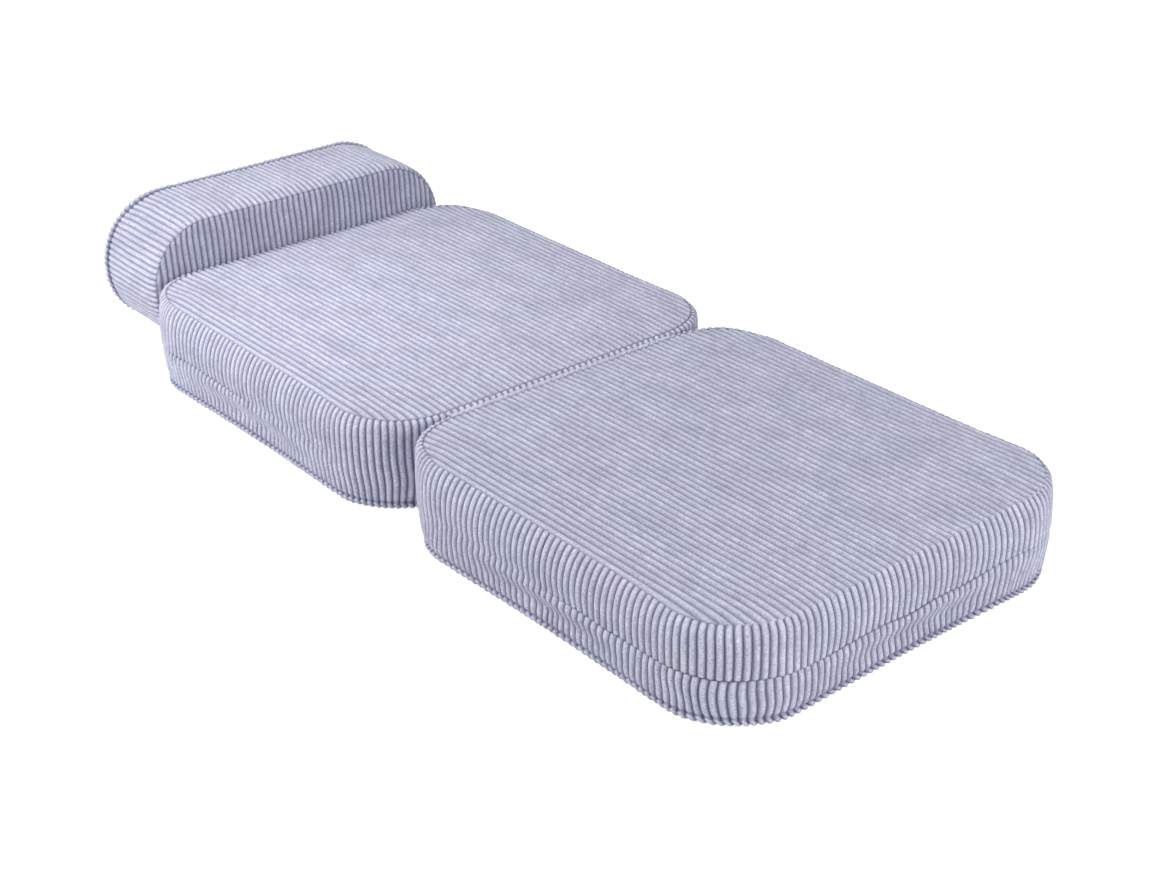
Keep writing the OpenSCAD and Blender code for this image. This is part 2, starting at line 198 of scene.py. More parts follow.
# The filling and the webs across the joints
WADDING_INSET = 0.0048
WADDING_LUMPS = 0.0006
WADDING_HILLS = (0.06, 0.05)
WADDING_TUCK = 0.0040
WADDING_STEP = 0.007
ZIP_GROOVE = 0.0060
ZIP_GROOVE_REACH = 0.014
FOAM_CORNER = 0.084
BOLSTER_FOAM_CORNER = 0.089
FOAM_GAP = 0.0006
FOAM_EDGE = 0.003
WEB_PITCH = 0.0101
WEB_ROWS = 25
WEB_WALE_DEPTH = 0.0007
WEB_THICKNESS = 0.0011


def seeded(name):
    """A random generator that gives the same numbers for the same name each time"""
    return np.random.default_rng(sum(ord(letter) * (place + 7) for place, letter in enumerate(name)))


def smooth_step(x, start=0.0, end=1.0):
    """0 up to the start and 1 from the end on, with a smooth rise between them. The end may be the lower."""
    x = np.clip((x - start) / (end - start), 0, 1)
    return x * x * (3 - 2 * x)


def hill(distance, reach):
    """1 at no distance, falling off smoothly over a reach"""
    return np.exp(-(distance / reach) ** 2)


def bowed(place, half):
    """1 in the middle of a straight stretch, falling off smoothly to 0 at its ends"""
    return (1 - np.clip(np.abs(place) / half, 0, 1) ** 2) ** 2


def cubic_weights(t):
    """How much each of four neighbouring values counts at the share t between the middle two"""
    return np.stack([
        -0.5 * t + t ** 2 - 0.5 * t ** 3,
        1 - 2.5 * t ** 2 + 1.5 * t ** 3,
        0.5 * t + 2 * t ** 2 - 1.5 * t ** 3,
        -0.5 * t ** 2 + 0.5 * t ** 3,
    ])


def between_points(grid, u, v, wrap_u=False):
    """Smooth values between the points of a grid, at the fractional places u and v"""
    rows, columns = grid.shape[:2]
    u0, v0 = np.floor(u).astype(int), np.floor(v).astype(int)
    u_weights, v_weights = cubic_weights(u - u0), cubic_weights(v - v0)
    total = 0
    for i in range(4):
        ui = u0 + i - 1
        ui = ui % rows if wrap_u else np.clip(ui, 0, rows - 1)
        for j in range(4):
            vj = np.clip(v0 + j - 1, 0, columns - 1)
            weight = u_weights[i] * v_weights[j]
            value = grid[ui, vj]
            total = total + (weight[..., None] * value if grid.ndim == 3 else weight * value)
    return total


def soft_noise(name, u, v, step_u, step_v):
    """Smooth noise from -1 to 1 over a surface, with hills about one step wide"""
    u, v = np.broadcast_arrays(np.asarray(u, float), np.asarray(v, float))
    u, v = (u - u.min()) / step_u + 1, (v - v.min()) / step_v + 1
    lattice = seeded(name).uniform(-1, 1, (int(u.max()) + 4, int(v.max()) + 4))
    return between_points(lattice, u, v)


class Outline:
    """An oblong with round corners, walked anticlockwise from the middle of its +X side"""

    def __init__(self, half_w, half_l, radius):
        self.half_w, self.half_l, self.radius = half_w, half_l, radius
        self.side, self.end = half_l - radius, half_w - radius
        self.arc = math.pi / 2 * radius
        side, end = self.side, self.end
        self.stretches = [
            ("side", side, (half_w, 0), (0, 1), (1, 0)),
            ("corner", self.arc, (end, side), 0, None),
            ("rear", 2 * end, (end, half_l), (-1, 0), (0, 1)),
            ("corner", self.arc, (-end, side), 90, None),
            ("side", 2 * side, (-half_w, side), (0, -1), (-1, 0)),
            ("corner", self.arc, (-end, -side), 180, None),
            ("front", 2 * end, (-end, -half_l), (1, 0), (0, -1)),
            ("corner", self.arc, (end, -side), 270, None),
            ("side", side, (half_w, -side), (0, 1), (1, 0)),
        ]
        self.starts = np.cumsum([0] + [stretch[1] for stretch in self.stretches])
        self.length = self.starts[-1]
        self.rear_middle = side + self.arc + end
        self.front_middle = self.length - self.rear_middle

    def at(self, p):
        """Points and outward directions at the distances p, which may be past a full turn"""
        p = np.mod(p, self.length)
        point, outward = np.zeros(p.shape + (2,)), np.zeros(p.shape + (2,))
        for (kind, length, origin, way, normal), start in zip(self.stretches, self.starts):
            here = (p >= start) & (p <= start + length)
            along = p[here] - start
            if kind == "corner":
                angle = np.radians(way) + along / self.radius
                direction = np.stack([np.cos(angle), np.sin(angle)], -1)
                point[here] = np.array(origin) + self.radius * direction
                outward[here] = direction
            else:
                point[here] = np.array(origin) + along[:, None] * np.array(way)
                outward[here] = normal
        return point, outward

    def inset_ring(self, p, inset):
        """Points at the distances p, drawn in by inset"""
        point, outward = self.at(p)
        return point - outward * inset

    def inside(self, x, y, inset):
        """How far the points lie inside the outline that is drawn in by inset"""
        qx = np.abs(x) - self.end
        qy = np.abs(y) - self.side
        outside = np.hypot(np.maximum(qx, 0), np.maximum(qy, 0)) + np.minimum(np.maximum(qx, qy), 0)
        return self.radius - inset - outside

    def outward(self, x, y):
        """The outward direction of the outline nearest to points inside it"""
        over_x, over_y = np.maximum(np.abs(x) - self.end, 0), np.maximum(np.abs(y) - self.side, 0)
        far = np.maximum(np.hypot(over_x, over_y), 1e-9)
        return np.sign(x) * over_x / far, np.sign(y) * over_y / far

    def half_length_at(self, x, inset):
        """Half the length of the line along Y at x, within the outline that is drawn in by inset"""
        radius = self.radius - inset
        reach = np.clip(np.abs(x) - self.end, 0, radius)
        return self.side + np.sqrt(radius ** 2 - reach ** 2)


class Cushion:
    """One stuffed cushion in its own axes: X across, Y along, and Z from its lower panel to its upper one.
    world and local turn points of its axes into the frame's and back. end_waists, joints and crisp each hold
    two shares from 0 to 1, for the front end and the rear one. The zip starts at the distance zip_from round
    the outline and runs round half of it."""

    def __init__(self, name, body, outline, sides, crown_top, base_depth, world, local, wales_across,
                 side_stretch=0.0, waist=0.0, end_waists=(0, 0), joints=(0, 0), crisp=(0, 0),
                 lip_height=LIP_HEIGHT, zip_from=None):
        self.name, self.body, self.outline, self.world, self.local = name, body, outline, world, local
        self.waist, self.end_waists, self.joints, self.crisp = waist, end_waists, joints, crisp
        self.crown_top, self.base_depth, self.lip_height = crown_top, base_depth, lip_height
        self.wales_across, self.side_stretch, self.zip_from = wales_across, side_stretch, zip_from
        steps = np.linspace(0, len(sides[0]) - 1, 40 * len(sides[0]))
        self.curves = [between_points(np.array(side)[:, None, :], steps, 0 * steps) for side in sides]
        self.curve = self.curves[0]
        lengths = np.hypot(*np.diff(self.curve, axis=0).T)
        self.arc = np.concatenate([[0], np.cumsum(lengths)])
        self.arc_length = self.arc[-1]
        self.seam_inset, self.seam_height = self.curve[-1]
        self.base_inset = self.curve[0][0]
        self.pitch = 2 * (outline.half_w - self.seam_inset) / wales_across
        self.moved = None

    def at_zip(self, p):
        """1 where the side has a zip, which runs round half of the outline"""
        if self.zip_from is None:
            return 0 * p
        along = np.mod(p - self.zip_from, self.outline.length)
        return smooth_step(np.minimum(along, self.outline.length / 2 - along), -0.012, 0)

    def at_slider(self, p):
        """1 along the straight side on which the zip's slider runs"""
        return self.at_zip(p) * smooth_step(self.outline.at(p)[1][..., 0], 0.8)

    def of_end(self, shares, y):
        """The front end's share where y is negative, and the rear one's where it is positive"""
        return np.where(y > 0, shares[1], shares[0])

    def edge_shares(self, outline_y, outward_y):
        """How much of the edge beside a joint, and of the crisp edge, there is at a place on the outline"""
        at_joint = self.of_end(self.joints, outward_y) * smooth_step(np.abs(outward_y), 0.3, 0.9)
        crisp = smooth_step(np.abs(outline_y), CRISP_FROM, CRISP_TO)
        return at_joint, self.of_end(self.crisp, outline_y) * crisp * (1 - at_joint)

    def inset_and_height(self, p, a):
        """The side's profile at the distances p round it and a up it"""
        point, outward = self.outline.at(p)
        soft, joint, crisp = [
            np.stack([np.interp(a, self.arc, curve[:, axis]) for axis in (0, 1)]) for curve in self.curves
        ]
        at_joint, at_crisp = self.edge_shares(point[..., 1], outward[..., 1])
        return soft + at_joint * (joint - soft) + at_crisp * (crisp - soft)

    def arc_at_height(self, height):
        """The distance up the side at which it reaches a height"""
        rising = np.maximum.accumulate(self.curve[:, 1])
        return float(np.interp(height, rising, self.arc))

    def drawn_in(self, p):
        """How much of the waist each place round the outline has"""
        point, outward = self.outline.at(p)
        along_side = np.abs(outward[..., 0]) > 0.999
        along_end = np.abs(outward[..., 1]) > 0.999
        on_side = along_side * bowed(point[..., 1], self.outline.side)
        on_end = along_end * bowed(point[..., 0], self.outline.end)
        return self.waist * (on_side + on_end * self.of_end(self.end_waists, outward[..., 1]))

    def waist_share(self, height):
        """The waist's profile: nothing above the zip line, most at its narrowest, and less at the floor"""
        above = smooth_step(height, WAIST_TOP, WAIST_HEIGHT)
        below = WAIST_AT_FLOOR + (1 - WAIST_AT_FLOOR) * smooth_step(height, 0, WAIST_HEIGHT)
        return np.where(height > WAIST_HEIGHT, above, below)

    def corner_tuck(self, outward_x, outward_y, height):
        """How far the round corners narrow towards the floor"""
        round_share = smooth_step(4 * outward_x ** 2 * outward_y ** 2)
        return CORNER_TUCK * round_share * smooth_step(height, ZIP_HEIGHT, 0) * (self.waist > 0)

    def side_points(self, p, a):
        """Points of the side at the distances p round it and a up it"""
        p, a = np.broadcast_arrays(p, a)
        point, outward = self.outline.at(p)
        inset, height = self.inset_and_height(p, a)
        inset = inset + self.drawn_in(p) * self.waist_share(height)
        inset = inset + self.corner_tuck(outward[..., 0], outward[..., 1], height)
        flat = point - outward * inset[..., None]
        points = np.concatenate([flat, height[..., None]], -1)
        if self.moved is not None:
            along = np.mod(p, self.outline.length)
            column = np.interp(along, self.moved["p"], np.arange(len(self.moved["p"])))
            row = a / self.arc_length * (self.moved["side"].shape[1] - 1)
            points = points + between_points(self.moved["side"], column, row, wrap_u=True)
        return points

    def upper_points(self, x, y):
        """Points of the upper panel at the places x and y on it"""
        inset = self.seam_inset
        inside = np.maximum(self.outline.inside(x, y, inset), 0)
        fading = np.exp(-inside / CROWN_REACH)
        z = self.seam_height + (self.crown_top - self.seam_height) * (1 - fading)
        outward_x, outward_y = self.outline.outward(x, y)
        shares = self.edge_shares(y + outward_y * (inside + inset), outward_y)
        push = fading * sum(share * (inset - curve[-1][0]) for share, curve in zip(shares, self.curves[1:]))
        points = np.stack([x + push * outward_x, y + push * outward_y, z], -1)
        if self.moved is not None:
            step = self.moved["step"]
            column, row = (x + self.outline.half_w) / step, (y + self.outline.half_l) / step
            points = points + between_points(self.moved["top"], column, row)
        return points

    def lower_points(self, x, y):
        """Points of the lower panel, which the waist and the corners draw in from the places x and y"""
        inset, seam = self.curve[0]
        inside = np.maximum(self.outline.inside(x, y, inset), 0)
        z = seam + (self.base_depth - seam) * smooth_step(inside, 0, BASE_REACH)
        waist = self.waist * self.waist_share(np.array(0.0))
        share_x, share_y = x / (self.outline.half_w - inset), y / (self.outline.half_l - inset)
        on_side = bowed(y, self.outline.side)
        on_end = bowed(x, self.outline.end) * self.of_end(self.end_waists, share_y)
        outward_x, outward_y = self.outline.outward(x, y)
        tuck = self.corner_tuck(outward_x, outward_y, 0.0) * np.exp(-inside / CROWN_REACH)
        narrowed_x = x - waist * on_side * share_x - tuck * outward_x
        narrowed_y = y - waist * on_end * share_y - tuck * outward_y
        return np.stack([narrowed_x, narrowed_y, z], -1)


def as_it_lies(points):
    """The world function of a piece whose points are in the frame's axes already"""
    return points


def new_mesh(name, points, faces):
    """A new object with its mesh, in the scene"""
    mesh = bpy.data.meshes.new(name)
    mesh.from_pydata([tuple(point) for point in points], [], faces)
    piece = bpy.data.objects.new(name, mesh)
    bpy.context.scene.collection.objects.link(piece)
    return piece


def rounded_end(distance, radius):
    """The fullness of a wale's rounded end: 0 at the end and 1 from the radius on"""
    return np.sqrt(1 - (1 - np.clip(distance / radius, 0, 1)) ** 2)


def wale_relief(columns, roundness):
    """0 in the grooves between the wales and 1 on their ridges, for each column of points"""
    share = (np.arange(columns) % POINTS_PER_WALE) / POINTS_PER_WALE
    return 1 - np.abs(2 * share - 1) ** roundness


def surface_normals(points):
    """The normals of a grid of points"""
    across, along = np.gradient(points, axis=0), np.gradient(points, axis=1)
    normals = np.cross(across, along)
    return normals / np.maximum(np.linalg.norm(normals, axis=-1, keepdims=True), 1e-12)


def corduroy_panel(name, world, points, fullness, lift, wale_depth=WALE_DEPTH, thickness=CLOTH_THICKNESS,
                   back_height=0.0, roundness=WALE_ROUNDNESS, tones=WHOLE_WALES):
    """A closed piece of corduroy: columns of points run along its wales, eight to a wale.
    fullness is 0 in a seam and 1 away from it, and lift raises the surface here and there.
    back_height and tones are the wale heights that colour its back, its grooves and its ridges.
    Low heights take the dark groove colour, which is partly painted shade."""
    columns, rows = points.shape[:2]
    normals = surface_normals(points)
    relief = wale_relief(columns, roundness)[:, None]
    wales = np.arange(columns)[:, None] / POINTS_PER_WALE
    along = np.arange(rows)[None, :] * ROW_STEP
    pile = PILE_UNEVENNESS * soft_noise(name + " pile", wales, along, *PILE_HILLS)
    depth = wale_depth * (1 - relief) * fullness + SEAM_DEPTH * (1 - fullness)
    outer = points + normals * (lift - depth + pile * relief * fullness)[..., None]
    inner = (points + normals * (np.minimum(lift, 0) - thickness)[..., None])[::POINTS_PER_WALE]
    front = np.arange(columns * rows).reshape(columns, rows)
    back = columns * rows + np.arange(inner.shape[0] * rows).reshape(-1, rows)

    faces = grid_faces(front) + grid_faces(back, flip=True)
    with_grain = len(faces)
    for i in range(len(back) - 1):
        wale = front[i * POINTS_PER_WALE:(i + 1) * POINTS_PER_WALE + 1]
        faces.append([*wale[::-1, 0].tolist(), int(back[i, 0]), int(back[i + 1, 0])])
        faces.append([*wale[:, -1].tolist(), int(back[i + 1, -1]), int(back[i, -1])])
    faces += grid_faces(np.stack([front[0], back[0]]), flip=True)
    faces += grid_faces(np.stack([front[-1], back[-1]]))

    flat = np.concatenate([outer.reshape(-1, 3), inner.reshape(-1, 3)])
    piece = new_mesh(name, world(flat), faces)
    mesh = piece.data
    mesh.polygons.foreach_set("use_smooth", np.arange(len(faces)) < with_grain)

    # The wale height also sets how dark the painted shade in the grooves and at the seams is
    height = np.full(len(flat), back_height, np.float32)
    height[:columns * rows] = ((tones[0] + (tones[1] - tones[0]) * relief) * fullness).ravel()
    mesh.attributes.new("wale_height", "FLOAT", "POINT").data.foreach_set("value", height)
    spans = np.linalg.norm(np.diff(points, axis=1), axis=-1)
    distance = np.concatenate([np.zeros((columns, 1)), np.cumsum(spans, axis=1)], axis=1)
    cloth = np.stack([wales + 0 * distance, distance], -1)
    cloth = np.concatenate([cloth.reshape(-1, 2), cloth[::POINTS_PER_WALE].reshape(-1, 2)])
    corners = np.zeros(len(mesh.loops), np.int32)
    mesh.loops.foreach_get("vertex_index", corners)
    mesh.uv_layers.new(name="cloth").data.foreach_set("uv", cloth[corners].astype(np.float32).ravel())
    return piece


def spread_rows(length, step, fine_at):
    """Places from 0 to length, about a step apart, and closer together round the places in fine_at"""
    near = np.array([0.0, 0.0007, 0.0016, 0.0028, 0.0044])
    rows = list(np.linspace(0, length, max(3, round(length / step) + 1)))
    fine = [place + side * offset for place in fine_at for side in (-1, 1) for offset in near]
    fine = [row for row in fine if 0 <= row <= length]
    rows = [row for row in rows if all(abs(row - other) > 0.0018 for other in fine)] + fine
    return np.unique(np.round(sorted(rows), 6))


def seam_showing(cushion, outward_y):
    """How much of the top seam shows: all of it on the long sides and beside a joint, and nothing where the
    wales run on over an end"""
    return 1 - (1 - cushion.of_end(cushion.joints, outward_y)) * smooth_step(np.abs(outward_y), 0.5, 0.9)


def lean_at_end(cushion, p, height):
    """How far the wales lean aside on the foot end, near its right corner, where the cloth is pulled askew"""
    point, outward = cushion.outline.at(p)
    share = hill(point[..., 0] - LEAN_X, LEAN_REACH) * smooth_step(-outward[..., 1], 0.3, 0.8)
    share = share * cushion.joints[1] * (1 - cushion.joints[0])
    return -LEAN * share * np.cos(1.5 * math.pi * np.minimum(height / ZIP_HEIGHT / 2, 1))


def wale_places(cushion, p_from, p_to):
    """The places of a band's columns of points. Its wales are wider on the long sides, just so much that an
    even number of them fills the band and those at the ends meet the upper panel's."""
    p = np.linspace(p_from, p_to, 4000)
    on_side = np.abs(cushion.outline.at(p)[1][..., 0]) ** 4
    tries = []
    for stretch in np.linspace(0.7, 1.3, 61) * cushion.side_stretch:
        passed = np.concatenate([[0], np.cumsum(1 / (1 + stretch * on_side[1:]))])
        passed = passed * (p[1] - p[0]) / cushion.pitch
        wales = 2 * round(passed[-1] / 2)
        tries.append((abs(passed[-1] - wales), wales, passed))
    _, wales, passed = min(tries, key=lambda found: found[0])
    return np.interp(np.linspace(0, passed[-1], wales * POINTS_PER_WALE + 1), passed, p)


def side_band(name, cushion, p_from, p_to, bottom=0.0, top=None, zip_end=None, tones=WHOLE_WALES):
    """A band round part of the side, between the distances bottom and top up it.
    zip_end is "top" or "bottom" where that edge is a zip's."""
    top = cushion.arc_length if top is None else top
    p = wale_places(cushion, p_from, p_to)[:, None]
    lip = cushion.arc_at_height(cushion.lip_height)
    fine_at = [0, top - bottom] + ([lip] if bottom == 0 else [])
    rows = spread_rows(top - bottom, ROW_STEP, fine_at)[None, :]
    to_ends = np.minimum(p - p_from, p_to - p)
    shown = smooth_step(to_ends, 0, ZIP_FADE)
    at_slider = cushion.at_slider(p)
    wave = soft_noise(cushion.name + " zip line", np.mod(p, cushion.outline.length), 0, *ZIP_WAVE_HILLS)
    wave = wave * ZIP_WAVE * shown * (1 - at_slider)
    slit = ZIP_SLIT + (SLIDER_SLIT - ZIP_SLIT) * at_slider
    low = bottom + (wave + slit / 2 if zip_end == "bottom" else 0 * p)
    high = top + (wave - slit / 2 if zip_end == "top" else 0 * p)
    a = low + rows * (high - low) / (top - bottom)

    height = cushion.inset_and_height(p, a)[1]
    loose = smooth_step(height, LOOSE_HEIGHT, WAIST_HEIGHT)
    loose = loose * (1.0 if cushion.waist else BOLSTER_LOOSE)
    aside = (SWAY * loose + SWAY_ABOVE) * soft_noise(name + " sway", p, a, *SWAY_HILLS)
    aside = aside + lean_at_end(cushion, p, height)
    if bottom == 0:
        aside = aside + LIP_SLANT * smooth_step(a, lip, 0)
    if zip_end == "top":
        aside = aside + cushion.pitch / 2 * shown
    points = cushion.side_points(p + aside * smooth_step(to_ends, 0, 0.03), a)

    outward = cushion.outline.at(p)[1]
    on_corner = smooth_step(4 * (outward ** 2).prod(axis=-1))
    fullness = np.ones_like(a)
    lift = np.zeros_like(a)
    if zip_end:
        from_zip = high - a if zip_end == "top" else a - low
        trough = at_slider * smooth_step(to_ends, 0, 0.01)
        lift -= TROUGH_DEPTH * trough * hill(from_zip, TROUGH_REACH)
        fullness *= 1 - shown * (1 - rounded_end(from_zip, ZIP_ROLL))
    if zip_end == "top":
        lift -= ZIP_SINK * shown * hill(from_zip, 2 * ZIP_ROLL)
    else:
        fullness *= 1 - (1 - rounded_end(high - a, SEAM_ROLL)) * seam_showing(cushion, outward[..., 1])
    if zip_end == "bottom":
        lift += ZIP_OVERHANG * shown * hill(from_zip, 3 * ZIP_ROLL)
    else:
        pinch = hill(a - lip, PINCH_REACH) * (1 - 0.4 * on_corner)
        lift -= PINCH_DEPTH * pinch
        fullness *= rounded_end(a, SEAM_ROLL) * (1 - PINCH_PRESS * pinch)
        if not cushion.waist:
            lift += BEAD_HEIGHT * np.sin(math.pi * np.minimum(a / lip, 1)) ** 0.5
    roundness = WALE_ROUNDNESS + (CORNER_ROUNDNESS - WALE_ROUNDNESS) * on_corner[:, 0]
    far_edge = smooth_step(outward[..., 0], 0.3, 0.7) * hill(cushion.arc_length - a, EDGE_PRESS_REACH)
    depth = WALE_DEPTH * (1 - EDGE_PRESS * far_edge)
    return corduroy_panel(name, cushion.world, points, fullness, lift, depth,
                          roundness=roundness, tones=tones)


def panel_grid(cushion, inset, facing, step, fine_at=()):
    """The places of a panel's points: their x, from -X to +X where facing is 1 and back where it is -1, their
    y, how far along the longest wale they are, how long that is, and how far inside the seam they lie.
    fine_at are the places along it where the rows are closer together, besides its ends."""
    half = facing * (cushion.outline.half_w - inset)
    x = np.linspace(-half, half, cushion.wales_across * POINTS_PER_WALE + 1)[:, None]
    longest = 2 * cushion.outline.half_length_at(0.0, inset)
    rows = spread_rows(longest, step, [0, longest] + [place + longest / 2 for place in fine_at])
    t = (rows / longest)[None, :]
    y = (2 * t - 1) * cushion.outline.half_length_at(x, inset)
    return x, y, t, longest, np.maximum(cushion.outline.inside(x, y, inset), 0)


def upper_panel(name, cushion, tones):
    """The crowned panel on top, with its wales along Y"""
    x, y, t, longest, inside = panel_grid(cushion, cushion.seam_inset, 1, UPPER_STEP)
    near_ends = np.exp(-np.minimum(t, 1 - t) * longest / 0.06)
    sway = soft_noise(name + " sway", x, longest * t, *TOP_HILLS)
    sway = sway * (TOP_SWAY + TOP_END_SWAY * near_ends)
    points = cushion.upper_points(x + sway * smooth_step(inside, 0, 0.02), y)
    outward_y = cushion.outline.outward(x, y)[1]
    cut = smooth_step(np.abs(outward_y), 0, 0.25) * seam_showing(cushion, outward_y)
    fullness = 1 - (1 - rounded_end(inside, SEAM_ROLL)) * cut
    return corduroy_panel(name, cushion.world, points, fullness, 0 * inside, tones=tones)


def lower_panel(name, cushion, zip_at=None):
    """The flat panel underneath, with its wales along Y.
    zip_at is the half length and the Y of a zip across it."""
    x, y, _, _, inside = panel_grid(cushion, cushion.base_inset, -1, LOWER_STEP, zip_at[1:] if zip_at else ())
    points = cushion.lower_points(x, y)
    fullness = smooth_step(inside, 0, SEAM_ROLL)
    lift = np.zeros_like(inside)
    if zip_at:
        from_zip = np.hypot(np.maximum(np.abs(x) - zip_at[0], 0), y - zip_at[1])
        fullness *= rounded_end(from_zip, ZIP_ROLL)
        lift -= TROUGH_DEPTH / 2 * hill(from_zip, TROUGH_REACH)
    return corduroy_panel(name, cushion.world, points, fullness, lift)


class CoarseForm:
    """A coarse closed mesh of a cushion: rings of points up its side, and a lattice of points on each
    panel"""

    def __init__(self, cushion, step):
        outline = cushion.outline
        self.cushion, self.step = cushion, step
        self.ring = round(outline.length / step)
        self.rows = max(6, round(cushion.arc_length / step))
        self.p = np.arange(self.ring) * outline.length / self.ring
        self.lattice_shape = [math.ceil(2 * half / step) + 1 for half in (outline.half_w, outline.half_l)]
        grid = np.indices(self.lattice_shape)
        x, y = grid[0] * step - outline.half_w, grid[1] * step - outline.half_l
        self.used = outline.inside(x, y, cushion.seam_inset) > 0.6 * step
        self.lattice = np.stack([x[self.used], y[self.used]], -1)
        count = self.ring * (self.rows + 1)
        self.side = np.arange(count).reshape(self.ring, self.rows + 1)
        self.upper = count + np.arange(len(self.lattice))
        self.lower = self.upper + len(self.lattice)
        self.count = count + 2 * len(self.lattice)
        flat = np.concatenate([outline.inset_ring(self.p, cushion.seam_inset), self.lattice])
        corners = [Vector(point) for point in flat.tolist()]
        edges = [(k, (k + 1) % self.ring) for k in range(self.ring)]
        _, _, faces, sources, _, _ = delaunay_2d_cdt(corners, edges, [], 0, 1e-7)
        self.lid = [[sources[corner][0] for corner in face] for face in faces]

    def points(self):
        """All its points, in the cushion's axes"""
        a = np.linspace(0, self.cushion.arc_length, self.rows + 1)[None, :]
        points = np.zeros((self.count, 3))
        points[self.side] = self.cushion.side_points(self.p[:, None], a)
        points[self.upper] = self.cushion.upper_points(*self.lattice.T)
        points[self.lower] = self.cushion.lower_points(*self.lattice.T)
        return points

    def lid_faces(self, rim, inner, flip=False):
        """The faces of a panel, from the numbers of the points on its rim and inside it"""
        numbers = np.concatenate([rim, inner])
        return [numbers[face[::-1] if flip else face].tolist() for face in self.lid]


def grid_faces(numbers, wrap=False, flip=False):
    """Quads over a grid of point numbers"""
    ahead = np.roll(numbers, -1, axis=0) if wrap else numbers[1:]
    here = numbers if wrap else numbers[:-1]
    quads = np.stack([here[:, :-1], ahead[:, :-1], ahead[:, 1:], here[:, 1:]], -1).reshape(-1, 4)
    return (quads[:, ::-1] if flip else quads).tolist()


def inflate(cushion, cap):
    """Inflates a coarse copy of the cushion as cloth that is held at its seams, and keeps how far it moved"""
    form = CoarseForm(cushion, COARSE_STEP)
    rest = form.points()
    faces = grid_faces(form.side, wrap=True) + form.lid_faces(form.side[:, -1], form.upper)
    faces += form.lid_faces(form.side[:, 0], form.lower, flip=True)
    cloth = new_mesh(cushion.name + "_cloth", rest, faces)

    weights = np.full(form.count, FOAM_HOLD)
    weights[form.upper] = FOAM_HOLD_TOP
    weights[form.lower] = 1
    weights[form.side[:, [0, -1]]] = 1
    if cushion.waist:
        zip_row = round(cushion.arc_at_height(ZIP_HEIGHT) / cushion.arc_length * form.rows)
        weights[form.side[:, zip_row]] = ZIP_HOLD + (1 - ZIP_HOLD) * cushion.at_slider(form.p)
    height = rest[:, 2]
    slack = np.where(height < ZIP_HEIGHT, 1.0, 0.0) if cushion.waist else 0 * height
    for name, values in (("held", weights), ("slack", slack)):
        group = cloth.vertex_groups.new(name=name)
        for number, value in enumerate(values):
            group.add([number], float(value), "REPLACE")

    simulation = cloth.modifiers.new("inflate", "CLOTH")
    for setting, value in CLOTH_SETTINGS.items():
        setattr(simulation.settings, setting, value)
    simulation.settings.effector_weights.gravity = 0
    simulation.collision_settings.use_collision = False
    simulation.point_cache.frame_start = 1
    simulation.point_cache.frame_end = SIMULATED_FRAMES
    for number in range(1, SIMULATED_FRAMES + 1):
        bpy.context.scene.frame_set(number)
    after = np.zeros(form.count * 3, np.float32)
    cloth.evaluated_get(bpy.context.evaluated_depsgraph_get()).data.vertices.foreach_get("co", after)
    moved = after.reshape(-1, 3) - rest
    bpy.data.objects.remove(cloth)
    bpy.context.scene.frame_set(1)
    far = np.linalg.norm(moved, axis=1, keepdims=True)
    moved *= cap * np.tanh(far / cap) / np.maximum(far, 1e-9)
    top = np.zeros(form.used.shape + (3,))
    top[form.used] = moved[form.upper]
    cushion.moved = {"p": form.p, "side": moved[form.side], "top": top, "step": form.step}


def wadding_wrap(name, cushion, room, room_top, floor):
    """Wadding: a soft shell under the cover, open below, with a room for the block of foam"""
    form = CoarseForm(cushion, WADDING_STEP)
    total = form.lower[0]
    outer = form.points()[:total]
    up = np.linspace(0, 1, form.rows + 1)[None, :]
    p = form.p[:, None] + 0 * up
    height = outer[form.side][..., 2]
    outward = np.concatenate([cushion.outline.at(p)[1], 0 * p[..., None]], -1)
    over_top = smooth_step(up, 0.8)[..., None]
    lean = outward * np.where(up < 1, 1, 0.5)[..., None] + np.array([0, 0, 1.0]) * over_top
    lumps = WADDING_LUMPS * soft_noise(name, p, up * cushion.arc_length, *WADDING_HILLS)
    groove = ZIP_GROOVE * cushion.at_zip(p) * np.exp(-((height - ZIP_HEIGHT) / ZIP_GROOVE_REACH) ** 4)
    tuck = WADDING_TUCK * smooth_step(height, cushion.lip_height + 0.012, cushion.lip_height)
    outer[form.side] -= lean * (WADDING_INSET + groove + tuck - lumps)[..., None]
    deepest = cushion.outline.half_w - room.half_w - 2 * FOAM_GAP
    depth = cushion.outline.inside(outer[form.side][..., 0], outer[form.side][..., 1], 0)
    outer[form.side] += outward * np.where(up < 1, np.maximum(depth - deepest, 0), 0)[..., None]
    outer[form.upper, 2] -= WADDING_INSET
    outer[:, 2] = np.maximum(outer[:, 2], floor)

    inner = np.zeros((total, 3))
    inner[form.side, :2] = room.at(form.p * room.length / cushion.outline.length)[0][:, None, :]
    inner[form.side, 2] = floor + (room_top - floor) * up
    shrink = (room.half_w / cushion.outline.half_w, room.half_l / cushion.outline.half_l)
    inner[form.upper, :2] = form.lattice * np.array(shrink)
    inner[form.upper, 2] = room_top

    faces = grid_faces(form.side, wrap=True) + form.lid_faces(form.side[:, -1], form.upper)
    faces += grid_faces(form.side + total, wrap=True, flip=True)
    faces += form.lid_faces(form.side[:, -1] + total, form.upper + total, flip=True)
    faces += grid_faces(np.stack([form.side[:, 0], form.side[:, 0] + total], -1), wrap=True, flip=True)
    piece = new_mesh(name, cushion.world(np.concatenate([outer, inner])), faces)
    piece.data.polygons.foreach_set("use_smooth", np.ones(len(faces), bool))
    return piece


